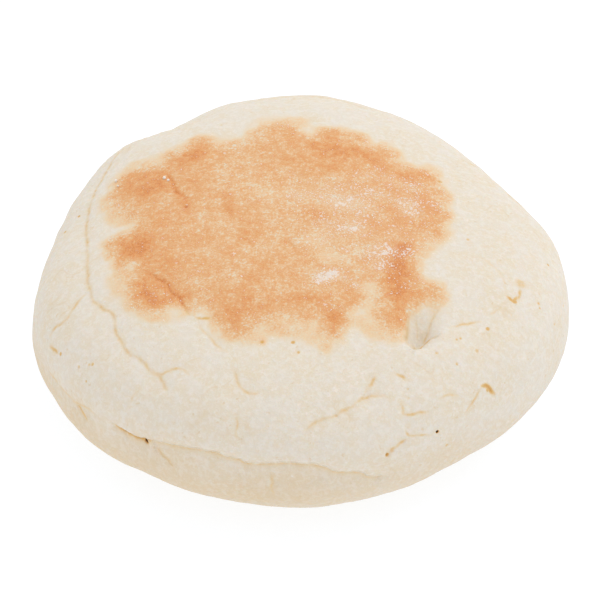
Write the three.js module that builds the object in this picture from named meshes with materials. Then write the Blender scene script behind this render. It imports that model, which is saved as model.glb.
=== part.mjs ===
// An English muffin: one round of soft yeast dough, baked on a griddle and turned once.
// The griddle presses both faces flat, and the side between them rises pale and full, with a
// tucked waist where the crown has spread over the base. It is one solid, because it was baked
// as one piece. The part stands on its base: the origin is at the middle of the base, +Z is up,
// and the side with the deep waist faces -Y. All sizes are in millimetres, all bearings are in
// degrees from +X towards +Y.
import * as THREE from "three";
import { mergeVertices } from "three/addons/utils/BufferGeometryUtils.js";

// Driving dimensions.
const GIRTH_RADIUS = 47; // at the widest level, before the swells
const HEIGHT = 34; // base to the middle of the crown
const GIRTH_HEIGHT = 16; // the widest level, a little under the middle
const CROWN_FULLNESS = 3; // 2 is an ellipse in section, and more is squarer
const BASE_FULLNESS = 2.6;
const BASE_SINK = 1.6; // what resting on the griddle presses off the bottom

// A hand-shaped round is never quite round. These are the places where the dough rose more or less
// than round about: each pushes the crust out by rise, or in where that is negative, over the same
// broad spread. They go round from the right-hand side, over the back, to the front.
const SWELL_SPREAD = 13;
const SWELLS = [
  { bearing: 0, height: 16, rise: 0.9 },
  { bearing: 32, height: 28, rise: -1.8 },
  { bearing: 85, height: 29, rise: 1.8 },
  { bearing: 90, height: 14, rise: 1.2 },
  { bearing: 110, height: 29, rise: 0.4 },
  { bearing: 125, height: 29, rise: -1.2 },
  { bearing: 145, height: 29, rise: 0.8 },
  { bearing: 168, height: 28, rise: -3.4 },
  { bearing: 183, height: 16, rise: -0.5 },
  { bearing: 195, height: 14, rise: 0.6 },
  { bearing: 210, height: 10, rise: 0.2 },
  { bearing: 228, height: 8, rise: -0.7 },
  { bearing: 310, height: 8, rise: -1.1 },
  { bearing: 345, height: 14, rise: 1.2 },
];

// The waist is a shallow groove round the side, deepest at one bearing and fading out to both
// sides of it.
const WAIST = { height: 17, depth: 1.0, halfWidth: 2.2, bearing: 240, reach: 62 };

// Segments of the starting box along its edges. They are even, so that a vertex lies in the
// middle of the base.
const EDGE_SEGMENTS = 22;

const radians = THREE.MathUtils.degToRad;

// How far the crust reaches over or under the girth, and how square its section is there.
function sectionAt(isCrown) {
  return isCrown
    ? { fullness: CROWN_FULLNESS, rise: HEIGHT - GIRTH_HEIGHT }
    : { fullness: BASE_FULLNESS, rise: GIRTH_HEIGHT + BASE_SINK };
}

// The middle of a swell, on the even round before any swell is added.
function swellMiddle({ bearing, height }) {
  const { fullness, rise } = sectionAt(height > GIRTH_HEIGHT);
  const share = Math.abs(height - GIRTH_HEIGHT) / rise;
  const radius = GIRTH_RADIUS * (1 - share ** fullness) ** (1 / fullness);
  return new THREE.Vector3(radius * Math.cos(radians(bearing)), radius * Math.sin(radians(bearing)), height);
}

const swellMiddles = SWELLS.map(swellMiddle);
const girthMiddle = new THREE.Vector3(0, 0, GIRTH_HEIGHT);

// How much of the waist's depth there is at a bearing: 1 in its middle, 0 beyond its reach.
function waistShare(bearing) {
  const away = THREE.MathUtils.euclideanModulo(bearing - radians(WAIST.bearing) + Math.PI, 2 * Math.PI);
  const share = Math.abs(away - Math.PI) / radians(WAIST.reach);
  return 1 - THREE.MathUtils.smoothstep(share, 0, 1);
}

// The point of the crust in a direction from the middle of the girth: a superellipse in section,
// with one fullness over the girth and another under it, then the swells and the waist.
function crustPoint(direction) {
  const { x, y, z } = direction;
  const { fullness, rise } = sectionAt(z > 0);
  const bearing = Math.atan2(y, x);
  const reach = (Math.hypot(x, y) ** fullness + Math.abs(z) ** fullness) ** (-1 / fullness);
  const across = reach * GIRTH_RADIUS;
  const point = new THREE.Vector3(x * across, y * across, GIRTH_HEIGHT + z * reach * rise);
  let push = 0;
  SWELLS.forEach((swell, i) => {
    const away = point.distanceTo(swellMiddles[i]) / SWELL_SPREAD;
    push += swell.rise * Math.exp(-0.5 * away ** 2);
  });
  const outward = point.clone().sub(girthMiddle).normalize();
  point.addScaledVector(outward, push);
  const fromWaist = (point.z - WAIST.height) / WAIST.halfWidth;
  const groove = WAIST.depth * waistShare(bearing) * Math.exp(-0.5 * fromWaist ** 2);
  point.addScaledVector(outward, -groove);
  point.z = Math.max(point.z, 0);
  return point;
}

// A box whose faces are cut into a grid, blown up into the crust. The tangent spaces the grid
// evenly, so that no corner is crowded.
function crustGeometry() {
  const box = new THREE.BoxGeometry(2, 2, 2, EDGE_SEGMENTS, EDGE_SEGMENTS, EDGE_SEGMENTS);
  box.deleteAttribute("normal");
  box.deleteAttribute("uv");
  const geometry = mergeVertices(box);
  const places = geometry.getAttribute("position");
  const direction = new THREE.Vector3();
  for (let i = 0; i < places.count; i += 1) {
    direction.fromBufferAttribute(places, i);
    direction.set(...direction.toArray().map((side) => Math.tan((side * Math.PI) / 4)));
    const point = crustPoint(direction.normalize());
    places.setXYZ(i, point.x, point.y, point.z);
  }
  geometry.computeBoundingBox();
  const middle = geometry.boundingBox.getCenter(new THREE.Vector3());
  geometry.translate(-middle.x, -middle.y, 0);
  return geometry;
}

const bakedDough = new THREE.MeshStandardMaterial({ color: 0xebe0cc, roughness: 0.85, metalness: 0 });

const muffin = new THREE.Mesh(crustGeometry(), bakedDough);
muffin.name = "english_muffin";

const part = new THREE.Group();
part.add(muffin);

export default part;
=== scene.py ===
"""An English muffin, baked whole on a griddle, standing on its base on a white table.

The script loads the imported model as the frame, sets the camera, table and light, and then makes
the muffin's crust and the loose flour on it in its place. Lengths are in millimetres until a
mesh is made, which holds metres.
"""
import math

import bmesh
import bpy
import numpy as np
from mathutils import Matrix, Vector, kdtree, noise


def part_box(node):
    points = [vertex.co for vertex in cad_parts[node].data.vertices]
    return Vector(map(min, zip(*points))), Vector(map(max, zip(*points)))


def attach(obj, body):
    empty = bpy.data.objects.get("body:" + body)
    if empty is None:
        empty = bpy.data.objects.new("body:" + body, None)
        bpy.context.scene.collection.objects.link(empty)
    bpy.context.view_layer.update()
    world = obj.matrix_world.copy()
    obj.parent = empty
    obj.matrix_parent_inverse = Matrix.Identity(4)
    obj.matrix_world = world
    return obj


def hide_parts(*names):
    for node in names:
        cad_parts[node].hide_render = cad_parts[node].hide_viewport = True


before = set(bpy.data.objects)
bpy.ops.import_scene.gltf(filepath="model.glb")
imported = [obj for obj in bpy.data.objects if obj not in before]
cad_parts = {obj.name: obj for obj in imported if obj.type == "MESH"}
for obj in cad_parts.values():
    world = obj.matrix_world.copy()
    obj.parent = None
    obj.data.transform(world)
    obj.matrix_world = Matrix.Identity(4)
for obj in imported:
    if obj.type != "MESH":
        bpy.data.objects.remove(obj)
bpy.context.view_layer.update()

# ------------------------------------------------------------------------------------- camera
# The muffin is seen from its front, 40 degrees above the table, through a long lens, so that the
# round keeps its true shape and fills the frame.
MM = 0.001
LOOK_AT = Vector((-0.13, -1.02, 16.1))
CAMERA_RISE = math.radians(40)
CAMERA_DISTANCE = 600
VIEW_WIDTH = 106.4  # what the frame takes in at the muffin's middle

camera_data = bpy.data.cameras.new("camera")
camera_data.lens = camera_data.sensor_width * CAMERA_DISTANCE / VIEW_WIDTH
camera_data.clip_start = 10 * MM
camera = bpy.data.objects.new("camera", camera_data)
bpy.context.scene.collection.objects.link(camera)
outward = Vector((0, -math.cos(CAMERA_RISE), math.sin(CAMERA_RISE)))
camera.location = (LOOK_AT + outward * CAMERA_DISTANCE) * MM
camera.rotation_euler = (-outward).to_track_quat("-Z", "Y").to_euler()
bpy.context.scene.camera = camera


# ---------------------------------------------------------------------------- table and light
# A white light table in a white room: light comes evenly from all round, as in a light tent, with
# one broad soft lamp high over the back right. The table glows, so that hardly a shadow lies on it.
def linear(hex_colour):
    """An sRGB hex colour as linear red, green, blue and an alpha of 1."""
    srgb = [int(hex_colour[i : i + 2], 16) / 255 for i in (1, 3, 5)]
    return (*(c / 12.92 if c <= 0.04045 else ((c + 0.055) / 1.055) ** 2.4 for c in srgb), 1)


def add_node(tree, kind, settings=None, **sockets):
    """A new node with its settings, and each named socket set to a value or linked to a node.

    A socket's name has _ for a space, and a number at its end counts among sockets of one name.
    """
    node = tree.nodes.new(kind)
    for name, value in (settings or {}).items():
        setattr(node, name, value)
    for name, value in sockets.items():
        words, _, number = name.rpartition("_")
        is_numbered = number.isdigit()
        label = (words if is_numbered else name).replace("_", " ")
        matches = [s for s in node.inputs if s.name == label and s.enabled]
        socket = matches[int(number) if is_numbered else 0]
        if isinstance(value, bpy.types.Node):
            value = next(s for s in value.outputs if s.enabled)
        if isinstance(value, bpy.types.NodeSocket):
            tree.links.new(value, socket)
        else:
            socket.default_value = value
    return node


def new_material(name):
    """An empty material with its node tree and the socket that its surface goes to."""
    material = bpy.data.materials.new(name)
    material.use_nodes = True
    tree = material.node_tree
    tree.nodes.clear()
    return material, tree, tree.nodes.new("ShaderNodeOutputMaterial").inputs["Surface"]


def add_object(name, data):
    """A new object with this data, in the scene."""
    thing = bpy.data.objects.new(name, data)
    bpy.context.scene.collection.objects.link(thing)
    return thing


TABLE_SIZE = 6000
TABLE_WHITE = "#9ba1a9"
TABLE_GLOW = 0.73
TABLE_GAP = 0.02  # it lies this much under the base, so that the two never share a plane
ROOM_STRENGTH = 0.9
LAMP_SIZE = 900
LAMP_PLACE = Vector((420, 350, 900))
LAMP_POWER = 2.85

half = TABLE_SIZE / 2 * MM
table_mesh = bpy.data.meshes.new("table")
level = -TABLE_GAP * MM
corners = [(-half, -half, level), (half, -half, level), (half, half, level), (-half, half, level)]
table_mesh.from_pydata(corners, [], [(0, 1, 2, 3)])
table = add_object("table", table_mesh)
# Opal acrylic: cast white and sanded matt, lit from below, so it glows and mirrors nothing.
table_white, tree, surface = new_material("opal_acrylic")
shader = add_node(tree, "ShaderNodeBsdfPrincipled", Base_Color=linear(TABLE_WHITE), Roughness=0.9,
                  Specular_IOR_Level=0.1, Emission_Color=(1, 1, 1, 1), Emission_Strength=TABLE_GLOW)
tree.links.new(shader.outputs[0], surface)
table_mesh.materials.append(table_white)

room = bpy.data.worlds.new("room")
room.use_nodes = True
room.node_tree.nodes["Background"].inputs["Color"].default_value = (1, 1, 1, 1)
room.node_tree.nodes["Background"].inputs["Strength"].default_value = ROOM_STRENGTH
bpy.context.scene.world = room

lamp_data = bpy.data.lights.new("soft_lamp", "AREA")
lamp_data.size = LAMP_SIZE * MM
lamp_data.energy = LAMP_POWER
lamp = add_object("soft_lamp", lamp_data)
lamp.location = LAMP_PLACE * MM
lamp.rotation_euler = LAMP_PLACE.to_track_quat("Z", "Y").to_euler()
bpy.context.scene.view_settings.view_transform = "Standard"


# -------------------------------------------------------------------------------------- crust
# The muffin itself: one round of soft yeast dough, proved in a flat round and baked on a griddle,
# first on one face and then on the other. Where the faces met the iron they are brown and flat;
# the side between them rose pale, with folds where the skin wrinkled as the dough spread.

# The form is the same as the CAD solid's: a superellipse in section, fuller over the girth than
# under it, on a plain round, with places that rose more or less: bearing, height and rise.
GIRTH_RADIUS = 47
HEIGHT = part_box("english_muffin")[1].z / MM
GIRTH_HEIGHT = 16
CROWN_FULLNESS = 3  # 2 is an ellipse in section, and more is squarer
BASE_FULLNESS = 2.6
BASE_SINK = 1.6  # what resting on the griddle presses off the bottom
SWELL_SPREAD = 13  # how broad they all are
SWELLS = [
    (0, 16, 0.9), (32, 28, -1.8), (85, 29, 1.8), (90, 14, 1.2), (110, 29, 0.4), (125, 29, -1.2),
    (145, 29, 0.8), (168, 28, -3.4), (183, 16, -0.5), (195, 14, 0.6), (210, 10, 0.2), (228, 8, -0.7),
    (310, 8, -1.1), (345, 14, 1.2),
]


def unit(vectors):
    """The vectors, one to a row, at a length of 1."""
    return vectors / np.linalg.norm(vectors, axis=1, keepdims=True)


def bell(away, spread):
    """1 where away is 0, falling off softly to both sides."""
    return np.exp(-0.5 * (away / spread) ** 2)


def section_at(is_crown):
    """The fullness of the section, and how far it reaches over or under the girth."""
    fullness = np.where(is_crown, CROWN_FULLNESS, BASE_FULLNESS)
    return fullness, np.where(is_crown, HEIGHT - GIRTH_HEIGHT, GIRTH_HEIGHT + BASE_SINK)


def girth_frame(directions):
    """Points of the crust in these directions, measured from the middle of the girth."""
    flat = np.hypot(directions[:, 0], directions[:, 1])
    upright = directions[:, 2]
    fullness, rise = section_at(upright > 0)
    reach = (flat**fullness + np.abs(upright) ** fullness) ** (-1 / fullness)
    across = np.full(len(directions), GIRTH_RADIUS)
    points = directions * (reach[:, None] * np.stack([across, across, rise], axis=1))
    push = np.zeros(len(points))
    for bearing, height, swell in SWELLS:
        full, over = section_at(height > GIRTH_HEIGHT)
        ring = GIRTH_RADIUS * (1 - (abs(height - GIRTH_HEIGHT) / over) ** full) ** (1 / full)
        angle = math.radians(bearing)
        middle = np.array([ring * math.cos(angle), ring * math.sin(angle), height - GIRTH_HEIGHT])
        push += swell * bell(np.linalg.norm(points - middle, axis=1), SWELL_SPREAD)
    points += unit(points) * push[:, None]
    points[:, 2] = np.maximum(points[:, 2], -GIRTH_HEIGHT)
    return points


def box_grid(across, upright):
    """Directions over the faces of a box cut into a grid, and the triangles between them."""
    counts = np.array([across, across, upright])
    quads = []
    for axis in range(3):
        u, v = (axis + 1) % 3, (axis + 2) % 3
        i, j = np.meshgrid(np.arange(counts[u]), np.arange(counts[v]), indexing="ij")
        for side in (0, 1):
            face = np.empty((i.size, 4, 3), int)
            for corner, (du, dv) in enumerate(((0, 0), (1, 0), (1, 1), (0, 1))):
                face[:, corner, axis] = side * counts[axis]
                face[:, corner, u] = i.ravel() + du
                face[:, corner, v] = j.ravel() + dv
            quads.append(face if side else face[:, ::-1])
    lattice, index = np.unique(np.concatenate(quads).reshape(-1, 3), axis=0, return_inverse=True)
    index = index.reshape(-1, 4)
    directions = unit(np.tan((2 * lattice / counts - 1) * np.pi / 4))
    return directions, np.concatenate([index[:, [0, 1, 2]], index[:, [0, 2, 3]]])


GRID_ACROSS = 106
GRID_UPRIGHT = 58
directions, triangles = box_grid(GRID_ACROSS, GRID_UPRIGHT)
uncentred = girth_frame(directions)
GIRTH_MIDDLE = np.array([*(-(uncentred.min(axis=0) + uncentred.max(axis=0))[:2] / 2), GIRTH_HEIGHT])


def crust(directions):
    """Points of the plain crust in the frame's own place."""
    return girth_frame(directions) + GIRTH_MIDDLE


def direction_to(points):
    """The directions whose crust points lie nearest to these points."""
    x, y, z = (np.asarray(points, float) - GIRTH_MIDDLE).T
    _, rise = section_at(z > 0)
    return unit(np.stack([x / GIRTH_RADIUS, y / GIRTH_RADIUS, z / rise], axis=1))


def outward_at(directions):
    """The crust's outward normals, from small steps to both sides along it."""
    small = 0.004
    helper = np.where(np.abs(directions[:, 2:]) < 0.8, [[0, 0, 1.0]], [[1.0, 0, 0]])
    aside = unit(np.cross(helper, directions))
    along = np.cross(directions, aside)
    spans = []
    for way in (aside, along):
        ends = [unit(directions + side * small * way) for side in (-1, 1)]
        spans.append(girth_frame(ends[1]) - girth_frame(ends[0]))
    return unit(np.cross(*spans))


SEED_STRIDE = 17.3  # how far apart in the noise two seeds look, in lumps


def lumps(points, size, seed, octaves=2):
    """Smooth noise, mostly between -1 and 1, in lumps of about that size."""
    places = points / size + seed * SEED_STRIDE
    return np.array([noise.fractal(place, 1, 2, octaves) for place in places.tolist()])


# The folds in the skin: each crease's width and depth, its tint, which is how tan and dark the bottom
# is, partly the skin's own tan and partly painted shade in the crease, what else it has, and its line
# of points, which are brought onto the crust. valley is a soft valley round the crease. Seen along the
# line, step lifts the skin on its left over that reach, lip lets that side hang over the other one, and
# another key lays a painted shadow of warm tan on the side under it. wedge marks the darkest tucks,
# which need as fine a mesh as the lips.
FOLDS = [
    # The shoulder fold down the left and its branches.
    (0.36, 0.07, 0.33, dict(valley=0.3, step=0.12), [(-22, 35.5, 27), (-28, 31, 26.5), (-32, 27, 26.5),
     (-35.5, 22, 27.5), (-37.5, 15, 27.5), (-38.5, 6, 28), (-38, -3.5, 29.5), (-37, -14, 30),
     (-36, -17.5, 30), (-34, -20.5, 30.5), (-32, -22.5, 30.5), (-32, -25.5, 30), (-30.5, -28, 29.5),
     (-29, -30.5, 29), (-26.5, -32, 29), (-25, -34.5, 28.5), (-24, -35.5, 28.5), (-23, -36.5, 28),
     (-22.5, -37.5, 27.5), (-22, -39, 27)]),
    (0.28, 0.05, 0.38, dict(valley=0.12), [(-25.6, -33.2, 28.8), (-24.6, -34.6, 28.7), (-23.6, -35.2, 28.8),
     (-22.5, -35, 29), (-21, -34.5, 29.5), (-19, -35.5, 29.5), (-18, -36.5, 29)]),
    (0.22, 0.03, 0.26, {}, [(-26.5, -36, 27), (-27.5, -37, 25.5), (-28.5, -37.5, 23.5)]),
    (0.3, 0.05, 0.38, dict(valley=0.14), [(-37, -14.5, 30), (-39, -16.5, 29), (-40.5, -18.5, 28),
     (-41.5, -19.5, 27), (-43.5, -19.5, 25), (-44.5, -20, 22.5)]),
    (0.32, 0.06, 0.5, dict(valley=0.12), [(-44.5, -20.5, 22.5), (-43.5, -22.5, 23), (-42, -24.5, 23.5)]),
    (0.2, 0.03, 0.12, dict(valley=0.05), [(-32, -25.5, 30), (-30.8, -26.2, 30.2)]),
    # The waist, where the crown slumped over the base: a faint start, then the lip, and the flap
    # that runs down from its deepest place.
    (0.34, 0.05, 0.28, dict(valley=0.22, step=0.22, stain=0.12), [(-44, -20, 17), (-42, -26, 17.5),
     (-39.5, -29.5, 17.5), (-37, -32, 18.5), (-34, -35, 19)]),
    (0.26, 0.05, 0.42, dict(valley=0.14), [(-39.5, -29.5, 17.5), (-37.5, -32.5, 16.5),
     (-36.5, -34.5, 14.5)]),
    (0.3, 0.16, 0.42, dict(valley=0.32, step=0.85, lip=0.18, reach=3.6, stain=0.55), [(-32, -36.7, 18.9),
     (-31.3, -37.2, 19), (-30, -38, 18.7), (-28, -39.5, 18.5), (-26, -40.5, 19), (-24.5, -41.5, 19.5)]),
    (0.5, 0.08, 0.13, dict(valley=0.26, step=0.68, lip=0.08, reach=3.6, stain=0.24), [(-26, -40.5, 19),
     (-23, -42.5, 19.5), (-19, -44, 20), (-16.5, -45, 20.5), (-14, -46, 20.5), (-11.5, -47, 20),
     (-8, -47.5, 19.5), (-2.5, -48, 20), (1.5, -48, 20), (4, -48, 19), (6, -47.5, 18), (9.5, -47, 17),
     (11.5, -46.5, 15.5), (15, -45, 14)]),
    (0.26, 0.03, 0.26, dict(valley=0.1, step=-0.2, stain=0.08), [(-25.7, -41, 18), (-24.2, -42, 17.2),
     (-22.8, -42.7, 16), (-21.6, -43.2, 14.4), (-20.8, -43.5, 12.8)]),
    # On the browned face.
    (0.22, 0.1, 0.6, dict(valley=0.22, step=0.1), [(-27, -12.5, 32.5), (-25.5, -13.5, 32.5),
     (-24, -15.5, 33), (-22, -19, 33), (-20.5, -21.5, 33), (-19.2, -23.8, 32.5), (-18, -24.5, 32.5)]),
    (0.24, 0.05, 0.62, dict(valley=0.08), [(-18.5, -24.3, 32.5), (-17, -25.3, 32.5), (-15, -25, 32.5),
     (-14, -24.5, 32.5)]),
    (0.26, 0.04, 0.28, dict(valley=0.16), [(-17.5, -25, 32.5), (-16.5, -27.5, 32), (-15.3, -30, 32),
     (-13.5, -32, 31.5), (-11.8, -34, 31.5)]),
    (0.28, 0.05, 0.32, dict(valley=0.14), [(-11.5, -35.5, 31), (-10.8, -38, 30), (-9.5, -40, 29),
     (-7.5, -40.7, 29.3), (-6, -39.5, 30)]),
    (0.28, 0.12, 0.75, dict(valley=0.14), [(-25.2, 15.6, 32), (-23.2, 14, 32), (-22.5, 11.5, 32.5),
     (-21.8, 9, 32.5), (-20.5, 7.6, 33), (-20.2, 5.4, 33)]),
    (0.22, 0.07, 0.3, dict(valley=0.12), [(-30.5, -13.5, 32), (-28.5, -11.5, 32.5), (-25, -8, 33),
     (-21.5, -4.5, 33)]),
    (0.26, 0.05, 0.36, dict(valley=0.1), [(-11, -4.5, 34), (-9.2, -6.3, 34), (-8.4, -8, 34),
     (-8.4, -10.5, 34)]),
    (0.26, 0.07, 0.75, dict(valley=0.1), [(-3, -6, 34), (-2, -7.2, 34), (-1.2, -8.2, 34),
     (-0.5, -7.4, 34)]),
    (0.26, 0.04, 0.24, dict(valley=0.12), [(-14.5, 6, 34), (-13.2, 3, 34), (-11.8, 0.5, 34),
     (-10, -1.5, 34)]),
    (0.22, 0.05, 0.15, dict(valley=0.12, step=-0.1), [(-32.8, -9, 31.5), (-33, -12, 31.3),
     (-31.8, -14, 31.5), (-31, -16.5, 31.5)]),
    # The dimple at the right of the brown, and the ridge that leaves it.
    (0.3, 0.05, 0.34, dict(valley=0.24, step=-0.55, reach=1.8), [(17.5, -22, 32), (17.9, -25, 31.5),
     (17.9, -28, 31.5), (18.1, -30.6, 31)]),
    (0.25, 0.2, 0.5, dict(valley=0.3, step=-0.8, lip=-0.35, reach=1.8), [(17.9, -29, 31),
     (18.5, -30.8, 30.5), (19.2, -31.2, 30.5), (20.2, -30.4, 30.5), (21.3, -28.8, 30.5),
     (23.5, -26.5, 30.5)]),
    (0.24, 0.08, 0.3, dict(valley=0.14, step=-0.2), [(21.3, -29, 30.5), (21.5, -27, 31), (22, -25, 31.5),
     (22.5, -22.5, 31.5), (23.2, -20.5, 31.5)]),
    (0.26, 0.05, 0.44, dict(valley=0.16, step=-0.1), [(24.5, -25.8, 30.5), (26, -25, 30.5),
     (28.5, -23.5, 30), (31, -22.5, 29.5)]),
    (0.22, 0.07, 0.3, dict(valley=0.1), [(19.6, -22.5, 32), (19.8, -25, 31.5), (20, -27.5, 31)]),
    # The tuck at the right and the lines round it.
    (0.24, 0.03, 0.22, dict(valley=0.08), [(29, -6.5, 31.5), (31, -8.5, 31.3), (33.4, -10.5, 30.8),
     (34.6, -12.5, 30.3), (35, -15, 30), (35.8, -16.6, 29.5)]),
    (0.26, 0.05, 0.48, dict(valley=0.14), [(38.2, -13, 29.3), (37.8, -15, 29), (37.4, -16.8, 28.9)]),
    (0.26, 0.03, 0.27, {}, [(34.5, -18.5, 29.5), (33, -20, 29.5), (31.5, -21.8, 29.7)]),
    (0.26, 0.06, 0.95, dict(valley=0.12, wedge=True), [(35, -16, 29.9), (35.8, -16.7, 29.4),
     (36.4, -16.9, 29.1), (37, -16.3, 29), (37.4, -15.2, 29)]),
    # The lower right.
    (0.28, 0.06, 1.15, dict(valley=0.14, wedge=True), [(29.9, -33.3, 23.8), (30.8, -32.4, 23.7),
     (31.4, -32.2, 23.1), (32.2, -32, 21.9), (32.9, -31.7, 20.8)]),
    (0.22, 0.04, 0.4, dict(valley=0.1), [(31, -32.6, 23.8), (30, -33.4, 23.6), (28.8, -34.8, 22.6),
     (27.8, -36, 21.6), (27, -37, 20.6)]),
    (0.24, 0.04, 0.34, dict(valley=0.1), [(22, -38, 25), (23.5, -37, 25.5), (25.5, -36, 25),
     (27, -35.8, 24)]),
    (0.26, 0.05, 0.42, dict(valley=0.14), [(16.4, -39.6, 27.5), (16.9, -41, 26), (17.5, -41.6, 25.2),
     (20, -40.6, 24.6), (22, -39.4, 24.6)]),
    (0.2, 0.04, 0.38, dict(valley=0.1), [(16.9, -42.4, 24), (17.6, -43, 22.8), (18.6, -43.2, 21.6),
     (20.5, -42.4, 21), (23, -41, 20)]),
    (0.32, 0.1, 0.5, dict(valley=0.26), [(14.3, -45.4, 19.2), (15.5, -44.6, 20.2), (17, -44, 21),
     (18.4, -43.4, 21.4)]),
    (0.28, 0.06, 0.36, dict(valley=0.24), [(-0.5, -46.4, 25), (1.5, -45.7, 26), (3, -45, 26.5),
     (6, -44, 27), (8.2, -42.8, 27.6), (9.8, -41.3, 28.2), (11, -40.8, 28.4), (13.5, -40.6, 28.2),
     (16, -40.2, 27.5)]),
    (0.28, 0.06, 0.36, dict(valley=0.2), [(10.4, -41, 28.3), (11.4, -39.2, 29), (12.4, -37.4, 29.6),
     (13, -36, 30)]),
    (0.28, 0.06, 0.42, dict(valley=0.16), [(15, -36, 29.6), (17, -36.6, 29), (17.6, -37.8, 28.4)]),
    # Wisps on the front, where the skin drew together.
    (0.24, 0.03, 0.34, dict(valley=0.06), [(-10.4, -42.6, 27.6), (-10.4, -44.2, 26.3), (-10.6, -45.4, 24.8),
     (-11.2, -46.3, 23)]),
    (0.26, 0.05, 0.34, dict(valley=0.08), [(-5.1, -48.2, 18.6), (-4.9, -48.2, 16.5), (-4.7, -48.1, 13.6),
     (-4.4, -47.5, 11)]),
    # Round the back: the waist again, and wrinkles over it.
    (0.38, 0.14, 0.32, dict(valley=0.3, step=0.7, lip=0.16, reach=3.6, stain=0.26), [(44, 15, 15),
     (40, 24, 16), (33, 33, 15.5), (25, 40, 14.5), (16, 45, 15.5), (6, 48, 16), (-3, 48.5, 15)]),
    (0.3, 0.1, 0.3, dict(valley=0.24, step=0.55, reach=3.4, stain=0.2), [(-14, 45, 13.5), (-22, 40.5, 13),
     (-30, 34, 14), (-37, 26, 14.5)]),
    (0.24, 0.03, 0.16, dict(valley=0.1), [(22, 20, 32), (27, 21.5, 30.5), (28.5, 17, 31), (29, 12, 31.5)]),
    (0.26, 0.05, 0.22, dict(valley=0.14, step=0.1), [(-12, 38, 29.5), (-3, 41.5, 29), (6, 41, 29.5),
     (13, 38, 30), (17, 39.5, 28)]),
    (0.2, 0.07, 0.4, dict(valley=0.16), [(17, 39.5, 28), (22, 38.5, 26), (25, 38, 23.5)]),
    (0.22, 0.08, 0.5, dict(valley=0.16), [(38, 19, 27), (41.5, 14, 25), (43.5, 12, 22.5)]),
    (0.22, 0.03, 0.16, dict(valley=0.08), [(44.5, -7, 24.5), (46, -12, 22.5), (45, -17, 21),
     (43, -22, 20)]),
    (0.22, 0.08, 0.5, dict(valley=0.16), [(-30, 33, 22), (-26, 37, 23), (-24, 39, 21.5)]),
]
# Places where a fold or a burst bubble left a hole or a mark: point, radius, depth and tint. The tint
# is partly the mark's own tan and partly painted shade in the hole; the broad faint ones darken the
# dimple, the seam's pocket and creases on the lower right, partly as painted shade.
PITS = [
    (-26.7, -41, 17.7, 0.5, 0.7, 3.2), (-27.7, -40.3, 17.9, 0.5, 0.2, 1.0),
    (-30.4, -38.4, 17.9, 0.35, 0.2, 1.3), (-20.1, 4.2, 33.1, 0.32, 0.3, 1.1),
    (-24.2, -15.6, 33, 0.5, 0.15, 1.1), (36.6, -16.8, 29, 0.6, 0.05, 0.85),
    (38.1, -12.4, 29.3, 1.25, 0.06, 0.46), (19.8, -29.2, 30.9, 1.5, 0.2, 0.3),
    (21, -26, 31.2, 1.6, 0.1, 0.22), (31.4, -32.5, 22.8, 0.5, 0.05, 0.7),
    (22.9, -40.4, 20.3, 0.3, 0.45, 3.6), (14.5, -45.3, 19.3, 0.38, 0.4, 1.3),
    (15.3, -44.8, 19.9, 0.55, 0.08, 0.5), (-35.5, -30, 26, 0.4, 0.08, 0.65),
    (-36.1, -29.8, 25.7, 0.35, 0.05, 0.45), (-38, -29, 24.5, 0.35, 0.08, 0.5),
    (-36.5, -31.5, 23.5, 0.3, 0.08, 0.6), (31.6, -24, 29, 0.42, 0.1, 0.9),
    (26.5, -27, 29.5, 0.32, 0.08, 0.65), (25.9, -27.5, 29.6, 0.3, 0.08, 0.6),
    (22.5, -31, 29.5, 0.35, 0.08, 0.55), (26, -32, 28, 0.32, 0.12, 0.65), (29.5, -28.5, 28, 0.45, 0.1, 0.5),
    (41.5, -15, 27, 0.38, 0.1, 0.6), (41.8, -15.8, 26.6, 0.3, 0.05, 0.6),
    (11, -41.2, 28.1, 1.1, 0.15, 0.24), (18, -42.5, 23.5, 0.9, 0.12, 0.25),
    (14.9, -45, 19.9, 1.2, 0.12, 0.26), (-27.6, -39.7, 19.2, 1.2, 0.1, 0.2),
    (24.6, -39.3, 16.3, 0.4, 0.12, 0.5), (6, -44.2, 27, 0.35, 0.15, 0.45),
    (-42, -24.6, 23.6, 0.42, 0.15, 0.8), (-6.5, -31.3, 32.3, 0.4, 0.05, 1.0),
    (-1.3, -31.4, 32.3, 0.42, 0.12, 0.95), (-0.4, -33.6, 31.9, 0.35, 0.08, 0.75),
    (28.6, -3.8, 32, 0.4, 0.06, 0.55), (25, 13.4, 31.8, 0.45, 0.12, 1.0),
    (29.2, 15.8, 30.9, 0.5, 0.08, 0.3), (-13.8, 28.4, 31, 0.32, 0.06, 0.45),
    (17.9, -37, 28.7, 0.3, 0.05, 0.25), (18, -39.6, 27, 0.3, 0.06, 0.38),
    (17.9, -38.4, 27.9, 0.32, 0.06, 0.45), (38.9, -6, 29.7, 0.45, 0.05, 0.2),
    (2.1, -46.6, 23.5, 0.3, 0.05, 0.28), (-7.3, -46.5, 22, 0.35, 0.05, 0.2), (28, 38, 17, 0.5, 0.4, 1.1),
    (-5, 47.5, 18, 0.4, 0.3, 1.0), (44, 6, 20, 0.3, 0.25, 1.3), (-42, 18, 18, 0.4, 0.3, 1.0),
    (12, 45, 21, 0.3, 0.1, 0.6), (-33, 31, 18, 0.3, 0.1, 0.6),
]
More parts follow.
